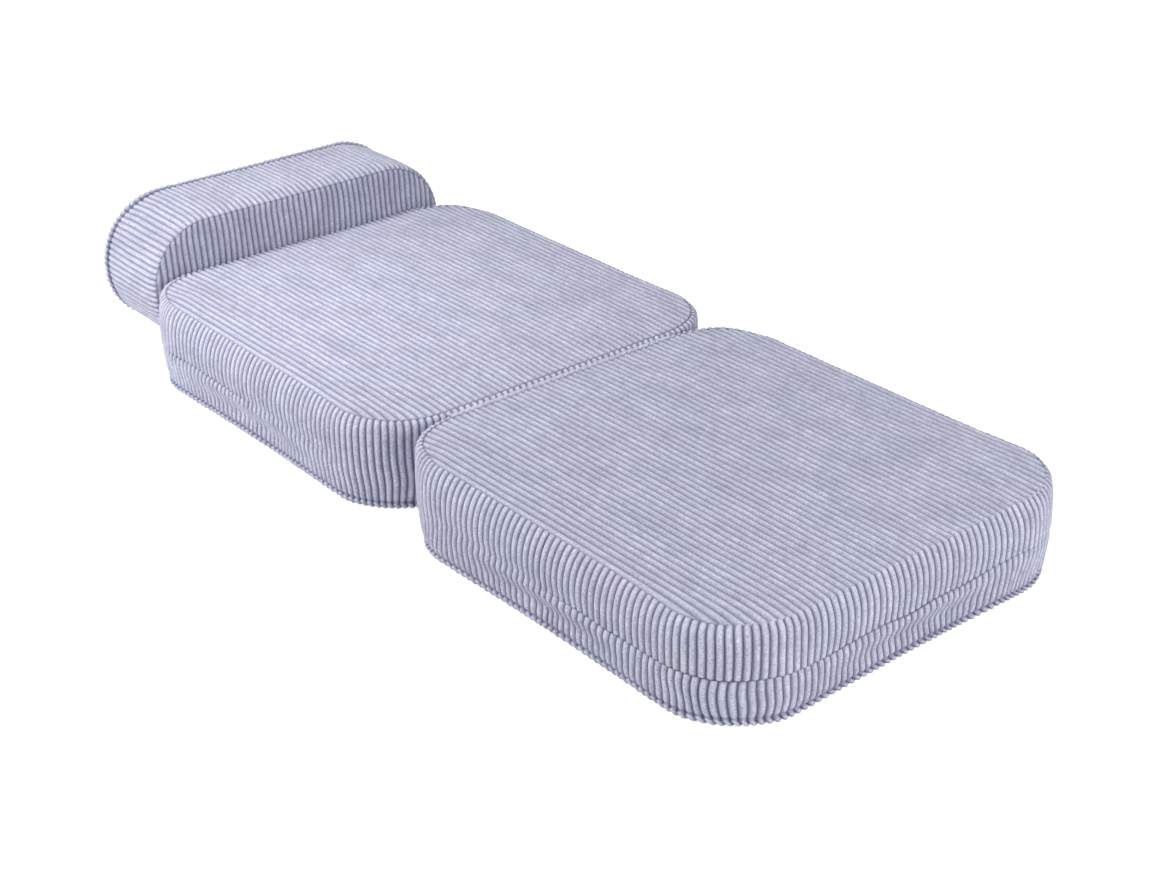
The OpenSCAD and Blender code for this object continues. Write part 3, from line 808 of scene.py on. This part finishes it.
def foam_core(name, node, corner_radius, upright_axis):
    """A block of foam in its node's box, with the corners that stand along an axis cut round, and the rims of
    its two end faces softened"""
    low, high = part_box(node)
    bpy.ops.object.select_all(action="DESELECT")
    bpy.ops.mesh.primitive_cube_add(size=1, location=(low + high) / 2)
    core = bpy.context.object
    core.name = name
    core.dimensions = high - low
    bpy.ops.object.transform_apply(location=True, rotation=True, scale=True)
    for radius, segments, at_corners in ((corner_radius, 12, True), (FOAM_EDGE, 3, False)):
        bpy.ops.object.mode_set(mode="EDIT")
        bpy.ops.mesh.select_mode(type="EDGE")
        bpy.ops.mesh.select_all(action="DESELECT")
        mesh = bmesh.from_edit_mesh(core.data)
        for edge in mesh.edges:
            direction = (edge.verts[1].co - edge.verts[0].co).normalized()
            upright = abs(direction[upright_axis]) > 0.99
            level = (edge.verts[0].co - edge.verts[1].co)[upright_axis]
            rim = abs(level) < 1e-6 and any(
                abs(edge.verts[0].co[upright_axis] - end[upright_axis]) < 1e-5 for end in (low, high))
            edge.select_set(upright if at_corners else rim)
        bmesh.update_edit_mesh(core.data)
        bpy.ops.mesh.bevel(offset=radius, segments=segments, profile=0.5)
        bpy.ops.object.mode_set(mode="OBJECT")
    bpy.ops.object.shade_smooth_by_angle(angle=math.radians(40))
    return core


def joint_web(name, path, half_width, facing):
    """A strip of corduroy sewn across a joint, with its wales running from one cushion to the other.
    path is a list of (y, z) points, and facing is the way its ribbed side faces, 1 or -1."""
    wales = 2 * round(half_width / WEB_PITCH)
    x = np.linspace(-facing * half_width, facing * half_width, wales * POINTS_PER_WALE + 1)
    knots = np.array(path)
    steps = np.linspace(0, len(knots) - 1, WEB_ROWS)
    line = between_points(knots[:, None, :], steps, 0 * steps)
    points = np.zeros((len(x), WEB_ROWS, 3))
    points[..., 0] = x[:, None]
    points[..., 1:] = line[None, :, :]
    return corduroy_panel(name, as_it_lies, points, np.ones(points.shape[:2]), 0 * points[..., 0],
                          WEB_WALE_DEPTH, WEB_THICKNESS, back_height=BRUSHED_BACK)


# Materials

class Shading:
    """The shader nodes of a material or of the world"""

    def __init__(self, owner):
        owner.use_nodes = True
        self.tree = owner.node_tree

    def set(self, socket, value):
        """Links an input to the output of another node, or gives it a value or a colour of three parts"""
        if isinstance(value, bpy.types.NodeSocket):
            self.tree.links.new(value, socket)
        else:
            socket.default_value = (*value, 1) if socket.type == "RGBA" else value

    def fill(self, node, *inputs, **settings):
        """Sets a node's first inputs in their order, and further inputs and settings by name"""
        for socket, value in zip(node.inputs, inputs):
            self.set(socket, value)
        for name, value in settings.items():
            if name in node.inputs:
                self.set(node.inputs[name], value)
            else:
                setattr(node, name, value)
        return node

    def add(self, kind, *inputs, **settings):
        """A new node, filled"""
        return self.fill(self.tree.nodes.new(kind), *inputs, **settings)

    def bumped(self, height, strength, distance, **below):
        """The normals of a bump, over those of another one if Normal gives them"""
        bump = self.add("ShaderNodeBump", Height=height, Strength=strength, Distance=distance, **below)
        return bump.outputs["Normal"]

    def noise(self, vector, scale, detail, stretch=None):
        """Noise over a coordinate, stretched if need be"""
        if stretch:
            vector = self.add("ShaderNodeMapping", vector, Scale=stretch).outputs["Vector"]
        return self.add("ShaderNodeTexNoise", vector, Scale=scale, Detail=detail).outputs["Fac"]

    def mixed(self, share, low, high, blend="MIX"):
        """A colour between two, by a share"""
        mix = self.add("ShaderNodeMix", share, data_type="RGBA", blend_type=blend)
        self.set(mix.inputs[6], low)
        self.set(mix.inputs[7], high)
        return mix.outputs[2]

    def ranged(self, value, low, high, to_low=0.0, to_high=1.0):
        """A value between low and high, turned into one between to_low and to_high"""
        return self.add("ShaderNodeMapRange", value, low, high, to_low, to_high).outputs["Result"]


def shader(name, colour, roughness, **inputs):
    """A new material with its nodes, its principled shader and the place of each point on the object"""
    material = bpy.data.materials.new(name)
    nodes = Shading(material)
    principled = nodes.tree.nodes["Principled BSDF"]
    nodes.fill(principled, colour, Roughness=roughness, **inputs)
    return material, nodes, principled, nodes.add("ShaderNodeTexCoord").outputs["Object"]


def corduroy(name, groove, warm, cool):
    """Cut-pile corduroy: dark grooves that are partly painted shade, brushed patches, streaks along each wale
    and a fine nap
    """
    sheen = {"Sheen Weight": 0.22, "Sheen Roughness": 0.5, "Sheen Tint": (0.92, 0.94, 1.0)}
    material, nodes, principled, here = shader(name, warm, 0.95, **sheen, **{"Specular IOR Level": 0.10})
    cloth = nodes.add("ShaderNodeUVMap", uv_map="cloth").outputs["UV"]
    height = nodes.add("ShaderNodeAttribute", attribute_name="wale_height").outputs["Fac"]

    patches = nodes.ranged(nodes.noise(here, 11.0, 4.0), 0.35, 0.65)
    top = nodes.mixed(patches, warm, cool)
    brushed = nodes.noise(cloth, 1.0, 3.0, stretch=(0.25, 14.0, 1.0))
    streaks = nodes.noise(cloth, 1.0, 3.0, stretch=(0.9, 60.0, 1.0))
    tufts = nodes.noise(here, 420.0, 3.0)
    nap = nodes.noise(here, 1000.0, 2.0)
    shades = ((brushed, 0.91, 1.08), (streaks, 0.91, 1.08), (tufts, 0.78, 1.18), (nap, 0.85, 1.12))
    for pattern, dark, light in shades:
        shade = nodes.mixed(nodes.ranged(pattern, 0.32, 0.68), (dark,) * 3, (light,) * 3)
        top = nodes.mixed(1.0, top, shade, "MULTIPLY")
    # Low wale heights, in the grooves and at the seams, take the groove colour, which is partly painted shade
    colour = nodes.mixed(nodes.ranged(height, 0.0, FULL_COLOUR_HEIGHT), groove, top)
    tufted = nodes.bumped(tufts, 0.6, 0.0016)
    nodes.fill(principled, colour, Normal=nodes.bumped(nap, 0.6, 0.0008, Normal=tufted))
    return material


def textured(name, plain, roughness, kind, texture, output, span, tones, bump=None, worn=None, **inputs):
    """A material that turns from one tone to another over a span of a texture's values. bump is the strength
    and the depth of its bumps, and worn the roughness at low values of the texture and at high ones."""
    material, nodes, principled, here = shader(name, plain, roughness, **inputs)
    pattern = nodes.add(kind, here, **texture).outputs[output]
    nodes.fill(principled, nodes.mixed(nodes.ranged(pattern, *span), *tones))
    if bump:
        nodes.fill(principled, Normal=nodes.bumped(pattern, *bump))
    if worn:
        nodes.fill(principled, Roughness=nodes.ranged(pattern, 0.3, 0.7, *worn))
    return material


# The groove colours are darker than the bare ground weave: much of their darkness is painted shade
LILAC_GROOVE_SHADE = (0.130, 0.128, 0.225)
WARM_LILAC = (0.735, 0.710, 0.875)
COOL_LILAC = (0.710, 0.735, 0.890)
BASE_GROOVE_SHADE = (0.140, 0.138, 0.240)
WARM_BASE = (0.590, 0.570, 0.730)
COOL_BASE = (0.575, 0.595, 0.750)
lilac_corduroy = corduroy("corduroy", LILAC_GROOVE_SHADE, WARM_LILAC, COOL_LILAC)
base_corduroy = corduroy("base_corduroy", BASE_GROOVE_SHADE, WARM_BASE, COOL_BASE)
# Open-cell foam with fine pores
foam = textured(
    "foam", (0.86, 0.80, 0.62), 0.95, "ShaderNodeTexVoronoi", {"Scale": 420.0}, "Distance", (0.0, 0.6),
    ((0.70, 0.62, 0.42), (0.88, 0.82, 0.64)), bump=(0.6, 0.0015))
# White fibre wadding, lumpy and matted
wadding = textured(
    "wadding", (0.88, 0.88, 0.87), 0.95, "ShaderNodeTexNoise", {"Scale": 60.0, "Detail": 6.0}, "Fac",
    (0.3, 0.7), ((0.78, 0.78, 0.77), (0.93, 0.93, 0.92)), bump=(0.7, 0.003), **{"Sheen Weight": 0.4})
# Woven zip tape: a fine herringbone of threads
zip_tape = textured(
    "zip_tape", (0.28, 0.27, 0.42), 0.75, "ShaderNodeTexWave",
    {"Scale": 260.0, "Distortion": 1.5, "Detail": 2.0, "bands_direction": "DIAGONAL"}, "Fac",
    (0.0, 1.0), ((0.20, 0.19, 0.32), (0.33, 0.32, 0.47)), bump=(0.5, 0.0004))
# Lacquered metal with slight wear
zip_slider = textured(
    "zip_slider", (0.30, 0.29, 0.43), 0.35, "ShaderNodeTexNoise", {"Scale": 240.0, "Detail": 4.0}, "Fac",
    (0.45, 0.75), ((0.28, 0.27, 0.41), (0.42, 0.41, 0.53)), worn=(0.28, 0.5), Metallic=0.35)


def finish_piece(piece, material, replaced, body=None):
    """Gives a piece its material, hides the nodes that it stands for and, if it is rigid, gives it its body
    """
    piece.data.materials.clear()
    piece.data.materials.append(material)
    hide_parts(*replaced)
    if body:
        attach(piece, body)


# The three cushions

def off_the_floor(points):
    """The points, with those that reach the floor flattened against it"""
    points[:, 2] = np.maximum(points[:, 2], FLOOR_ROOM)
    return points


def section(prefix, end_waists, joints, crisp, zip_first):
    """A foot or head section in its own axes, placed by its nodes' boxes"""
    plain, zipped, top = [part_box(prefix + node) for node in ("plain_band", "upper_zip_band", "top_panel")]
    low_y, high_y = min(plain[0].y, zipped[0].y), max(plain[1].y, zipped[1].y)
    middle = np.array([0, (low_y + high_y) / 2, 0])
    outline = Outline(plain[1].x, (high_y - low_y) / 2, CORNER_RADIUS)
    return Cushion(
        prefix + "section", prefix + "section", outline,
        [SIDE_BELOW + edge for edge in (SOFT_EDGE, JOINT_EDGE, CRISP_EDGE)], top[1].z - TOP_ROOM, 0.0,
        lambda points: off_the_floor(points + middle), lambda points: points - middle, WALES_ACROSS,
        SIDE_STRETCH, WAIST_DEPTH, end_waists, joints, crisp,
        zip_from=0.0 if zip_first else outline.length / 2)


def bolster_cushion():
    """The bolster in its own axes: it lies on its back, and its world function stands it up"""
    gusset, front, back = [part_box("bolster_" + node) for node in ("gusset", "front_panel", "back_panel")]
    middle_z, seam_y = (gusset[1].z + gusset[0].z) / 2, gusset[1].y

    def stand(points):
        return off_the_floor(np.stack([points[:, 0], seam_y - points[:, 2], middle_z + points[:, 1]], -1))

    def lay(points):
        return np.stack([points[:, 0], points[:, 2] - middle_z, seam_y - points[:, 1]], -1)

    outline = Outline(gusset[1].x, (gusset[1].z - gusset[0].z) / 2, BOLSTER_RADIUS)
    return Cushion(
        "bolster", "bolster", outline, [BOLSTER_SIDE] * 3, seam_y - front[0].y, seam_y - back[1].y,
        stand, lay, BOLSTER_WALES, joints=(1, 1), lip_height=BOLSTER_LIP_HEIGHT)


foot = section("foot_", (1, 0), (0, 1), (1, 0), False)
head = section("head_", (0, 0), (1, 1), (0.7, 0), True)
bolster = bolster_cushion()
inflate(foot, LARGEST_MOVE)
inflate(head, LARGEST_MOVE)
inflate(bolster, LARGEST_MOVE / 2)


def add_covers(prefix, cushion, covers):
    """Finishes a cushion's panels and bands, each of which stands for one node"""
    for node, piece in covers.items():
        under = node == "base_panel"
        material, slot = (base_corduroy, "base_corduroy") if under else (lilac_corduroy, "corduroy")
        finish_piece(piece, material, [prefix + node], cushion.body)


def add_filling(prefix, cushion, corner, axis):
    """The block of foam, whose round corners stand along an axis of the frame, and the wadding round it"""
    core = foam_core(prefix + "foam", prefix + "foam_core", corner, axis)
    finish_piece(core, foam, [prefix + "foam_core"], cushion.body)
    ends = cushion.local(np.array(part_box(prefix + "foam_core")))
    low, high = ends.min(axis=0), ends.max(axis=0)
    half_w, half_l = (high - low)[:2] / 2 + FOAM_GAP
    room = Outline(half_w, half_l, corner + FOAM_GAP)
    wrap = wadding_wrap(prefix + "wadding", cushion, room, high[2] + FOAM_GAP, low[2])
    finish_piece(wrap, wadding, [prefix + "wadding_wrap"], cushion.body)


def cover_section(prefix, cushion):
    """A section's crowned top, base, one-piece band, and the two bands that meet at the zip line"""
    half_way = cushion.outline.length / 2
    zip_from, plain_from = cushion.zip_from, half_way - cushion.zip_from
    zip_to, plain_to = zip_from + half_way, plain_from + half_way
    line = cushion.arc_at_height(ZIP_HEIGHT)
    # The top panel's wale tones lighten its grooves and dim its ridges: painted light and shade
    add_covers(prefix, cushion, {
        "top_panel": upper_panel(prefix + "top_cover", cushion, TOP_PAINTED_SHADE),
        "base_panel": lower_panel(prefix + "base_cover", cushion),
        "plain_band": side_band(prefix + "plain_side", cushion, plain_from, plain_to),
        "upper_zip_band": side_band(prefix + "upper_zip_side", cushion, zip_from, zip_to,
                                    bottom=line, zip_end="bottom"),
        "lower_zip_band": side_band(prefix + "lower_zip_side", cushion, zip_from, zip_to,
                                    top=line, zip_end="top"),
    })


def cover_bolster():
    """The bolster's front, its back with the zip across it, its gusset, and the strip that it stands on"""
    low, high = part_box("bolster_zip_chain")
    zip_at = high.x, bolster.local(np.array([(low + high) / 2]))[0, 1]
    strip_from = bolster.outline.front_middle - bolster.outline.end
    strip_to = bolster.outline.front_middle + bolster.outline.end
    # The front's and the gusset's wale tones are painted light and shade for how light falls on each
    add_covers("bolster_", bolster, {
        "front_panel": upper_panel("bolster_front", bolster, FRONT_PAINTED_SHADE),
        "back_panel": lower_panel("bolster_back", bolster, zip_at),
        "gusset": side_band("bolster_side", bolster, strip_to - bolster.outline.length, strip_from,
                            tones=GUSSET_PAINTED_SHADE),
        "base_strip": side_band("bolster_base", bolster, strip_from, strip_to, tones=GUSSET_PAINTED_SHADE),
    })


cover_section("foot_", foot)
add_filling("foot_", foot, FOAM_CORNER, 2)
cover_section("head_", head)
add_filling("head_", head, FOAM_CORNER, 2)
add_filling("bolster_", bolster, BOLSTER_FOAM_CORNER, 1)
cover_bolster()

for prefix in ("foot_", "head_", "bolster_"):
    for node, material in (("zip_chain", zip_tape), ("zip_slider", zip_slider)):
        part = frame["nodes"][prefix + node].data
        part.materials.clear()
        part.materials.append(material)


# The webs across the joints

FOLD_CLIMB = [(-0.0030, 0.1225), (-0.0020, 0.1250), (-0.0010, 0.1263), (0.0, 0.1266)]
BOLSTER_WEB_CLIMB = [(-0.010, 0.0030), (-0.005, 0.0016), (0.0, 0.0014)]


def joint_y(name):
    """Where along the chair a joint's axis lies"""
    return next(joint["pos_m"][1] for joint in frame["joints"] if joint["name"] == name)


def place_web(name, y, climb, tapes, facing):
    """A web over the joint at y that is the same on both sides, in place of the two sides' woven tapes.
    Its path climbs over the joint as climb gives, mirrored to each side."""
    path = [(y + dy, z) for dy, z in climb] + [(y - dy, z) for dy, z in reversed(climb[:-1])]
    web = joint_web(name, path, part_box(tapes[0])[1].x, facing)
    finish_piece(web, lilac_corduroy, tapes)
    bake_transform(web)


place_web("fold_web", joint_y("fold"), FOLD_CLIMB, ["foot_fold_tape", "head_fold_tape"], -1)
place_web("bolster_web", joint_y("bolster_swing"), BOLSTER_WEB_CLIMB,
          ["head_bolster_tape", "bolster_joint_tape"], 1)


# Floor, light and camera

FLOOR_GLOW = 0.72
WORLD_LIGHT = 0.24


def background_rays(nodes):
    """1 for the rays that show the background: the camera's own, and those off metal or through glass"""
    rays = nodes.add("ShaderNodeLightPath")
    seen = rays.outputs["Is Camera Ray"]
    for kind in ("Is Glossy Ray", "Is Transmission Ray"):
        seen = nodes.add("ShaderNodeMath", seen, rays.outputs[kind], operation="MAXIMUM").outputs[0]
    return seen


def pale_floor():
    """A wide floor that keeps the object's shadow and glows pale towards the camera alone"""
    bpy.ops.object.select_all(action="DESELECT")
    bpy.ops.mesh.primitive_plane_add(size=30, location=(0, 0, -0.0006))
    floor = bpy.context.object
    floor.name = "floor"
    material = bpy.data.materials.new("floor")
    nodes = Shading(material)
    nodes.tree.nodes.clear()
    matte = nodes.add("ShaderNodeBsdfDiffuse", (0.80, 0.80, 0.80))
    strength = nodes.add("ShaderNodeMath", background_rays(nodes), FLOOR_GLOW, operation="MULTIPLY")
    glow = nodes.add("ShaderNodeEmission", (1, 1, 1), strength.outputs[0])
    both = nodes.add("ShaderNodeAddShader", matte.outputs[0], glow.outputs[0])
    nodes.add("ShaderNodeOutputMaterial", both.outputs[0])
    floor.data.materials.append(material)


def world_light():
    """A dim, even light from all round, seen as white"""
    world = bpy.data.worlds.new("studio")
    bpy.context.scene.world = world
    nodes = Shading(world)
    nodes.tree.nodes.clear()
    light = nodes.add("ShaderNodeBackground", (0.93, 0.95, 1.0), WORLD_LIGHT)
    backdrop = nodes.add("ShaderNodeBackground", (1, 1, 1), 1.0)
    mix = nodes.add("ShaderNodeMixShader", background_rays(nodes), light.outputs[0], backdrop.outputs[0])
    nodes.add("ShaderNodeOutputWorld", mix.outputs[0])


def place_lamp(name, kind, place, target, power):
    """A new lamp that faces a target"""
    lamp = bpy.data.lights.new(name, kind)
    lamp.energy = power
    light = bpy.data.objects.new(name, lamp)
    bpy.context.scene.collection.objects.link(light)
    light.location = place
    light.rotation_euler = (Vector(target) - Vector(place)).to_track_quat("-Z", "Y").to_euler()
    return lamp


def soft_box(name, place, target, power, size):
    """A large round lamp"""
    lamp = place_lamp(name, "AREA", place, target, power)
    lamp.shape = "DISK"
    lamp.size = size


def pool_light(name, place, target, power, spread):
    """A spot that lays a soft-edged pool of light, over the head of the bed or the bolster's end"""
    lamp = place_lamp(name, "SPOT", place, target, power)
    lamp.spot_size = math.radians(spread)
    lamp.spot_blend = 1
    lamp.shadow_soft_size = 0.25


# The camera that a fit to the photo gives: its turn, tilt and roll in radians, its place in metres, and the
# focal length and principal point in pixels of the photo
IMAGE_WIDTH, IMAGE_HEIGHT = 1160, 870
CAMERA_YAW, CAMERA_PITCH, CAMERA_ROLL = 0.73234, 0.43146, 0.00189
CAMERA_PLACE = (-1.53611, -2.06097, 1.31336)
FOCAL_LENGTH = 2063.3
PRINCIPAL_X, PRINCIPAL_Y = 701.6, 349.6


def photo_camera():
    """The camera from which the scene looks as in the photo"""
    data = bpy.data.cameras.new("camera")
    data.sensor_fit = "HORIZONTAL"
    data.sensor_width = 36
    data.lens = FOCAL_LENGTH / IMAGE_WIDTH * data.sensor_width
    data.shift_x = -(PRINCIPAL_X - IMAGE_WIDTH / 2) / IMAGE_WIDTH
    data.shift_y = (PRINCIPAL_Y - IMAGE_HEIGHT / 2) / IMAGE_WIDTH
    camera = bpy.data.objects.new("camera", data)
    bpy.context.scene.collection.objects.link(camera)
    yaw, pitch = CAMERA_YAW, CAMERA_PITCH
    forward = Vector((math.sin(yaw) * math.cos(pitch), math.cos(yaw) * math.cos(pitch), -math.sin(pitch)))
    right = Vector((math.cos(yaw), -math.sin(yaw), 0))
    up = right.cross(forward)
    turned = Matrix((right, up, -forward)).transposed() @ Matrix.Rotation(CAMERA_ROLL, 3, "Z")
    camera.matrix_world = Matrix.Translation(CAMERA_PLACE) @ turned.to_4x4()
    bpy.context.scene.camera = camera


pale_floor()
world_light()
soft_box("key", (-2.6, 1.2, 2.9), (0, 0.1, 0.1), power=97, size=1.8)
soft_box("front_fill", (0.4, -2.8, 1.2), (0, -0.5, 0.1), power=31, size=1.4)
soft_box("camera_fill", (-2.0, -2.6, 2.2), (0, -0.2, 0.1), power=12, size=1.6)
pool_light("pool", (-0.5, 0.6, 2.4), (-0.2, 0.3, 0.1), power=72, spread=24)
pool_light("end_pool", (-2.2, 1.5, 0.6), (-0.25, 0.67, 0.13), power=75, spread=10)
photo_camera()
bpy.context.scene.view_settings.view_transform = "Standard"
